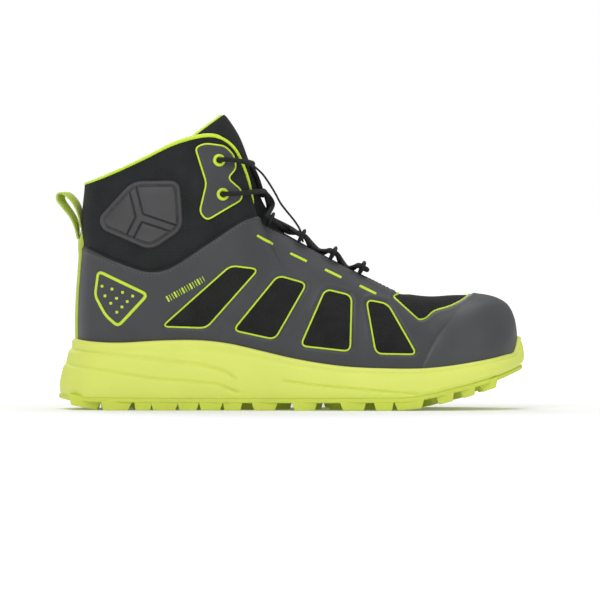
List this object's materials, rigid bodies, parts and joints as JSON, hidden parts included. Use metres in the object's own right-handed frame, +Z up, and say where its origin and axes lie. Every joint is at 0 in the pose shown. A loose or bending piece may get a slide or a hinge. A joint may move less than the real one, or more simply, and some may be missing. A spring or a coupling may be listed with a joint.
{
  "type": "mid-height safety hiking boot",
  "caption": "Mid-height lace-up boot with lugged sole, laces in cord loops, padded collar, ankle guards, heel pull loop and protective toe cap.",
  "frame": {"origin": "on the floor, under the middle of the boot's bounding box", "axes": "+X towards the toe, +Y towards the inner side of the foot, +Z up"},
  "size_m": [0.3061, 0.1111, 0.1935],
  "materials": {
    "lime_rubber": "matt moulded",
    "lime_line": "matt printed line",
    "lime_webbing": "woven",
    "lime_mesh": "open mesh",
    "grey_overlay": "fine grained, satin",
    "grey_plastic": "satin",
    "grey_rubber": "matt moulded",
    "board": "plain",
    "composite": "plain",
    "foam": "soft foam",
    "black_cord": "braided",
    "black_textile": "woven"
  },
  "bodies": {
    "boot": {"ankle_protector_lateral": "grey_rubber", "ankle_protector_medial": "grey_rubber", "body_textile": "black_textile", "collar_foam": "foam", "collar_panel": "black_textile", "collar_piping": "lime_webbing", "eyelet_lateral_1": "grey_plastic", "eyelet_lateral_2": "grey_plastic", "eyelet_medial_1": "grey_plastic", "eyelet_medial_2": "grey_plastic", "eyelet_stay_lateral": "grey_overlay", "eyelet_stay_medial": "grey_overlay", "heel_counter": "board", "heel_strip": "lime_webbing", "heel_trim_lateral": "lime_line", "heel_trim_medial": "lime_line", "insole_board": "board", "lace": "black_cord", "lace_loop_lateral_1": "black_cord", "lace_loop_lateral_2": "black_cord", "lace_loop_lateral_3": "black_cord", "lace_loop_lateral_4": "black_cord", "lace_loop_medial_1": "black_cord", "lace_loop_medial_2": "black_cord", "lace_loop_medial_3": "black_cord", "lace_loop_medial_4": "black_cord", "lining": "lime_mesh", "midsole": "lime_rubber", "outsole": "lime_rubber", "overlay_lateral": "grey_overlay", "overlay_medial": "grey_overlay", "shank": "composite", "toe_cap": "composite", "toe_guard": "grey_rubber", "tongue": "black_textile", "tongue_keeper": "black_cord", "vamp_trim": "lime_line", "window_trim_lateral_1": "lime_line", "window_trim_lateral_2": "lime_line", "window_trim_lateral_3": "lime_line", "window_trim_lateral_4": "lime_line", "window_trim_medial_1": "lime_line", "window_trim_medial_2": "lime_line", "window_trim_medial_3": "lime_line", "window_trim_medial_4": "lime_line"},
    "pull_loop": {"pull_loop": "lime_webbing"},
    "tongue_tab": {"tongue_tab": "black_textile"},
    "footbed": {"footbed": "foam"}
  },
  "joints": [
    {"name": "pull_loop_fold", "type": "hinge", "parent": "boot", "child": "pull_loop", "pos_m": [-0.1394, 0, 0.1125], "axis": [0, -1, 0], "range_deg": [0, 50], "stiffness_Nm_per_rad": 0.004},
    {"name": "tongue_top", "type": "hinge", "parent": "boot", "child": "tongue_tab", "pos_m": [-0.0329, 0, 0.1685], "axis": [0, 1, 0], "range_deg": [0, 12], "stiffness_Nm_per_rad": 0.05},
    {"name": "footbed_lift", "type": "hinge", "parent": "boot", "child": "footbed", "pos_m": [0.137, 0, 0.0281], "axis": [0, 1, 0], "range_deg": [0, 5]}
  ]
}
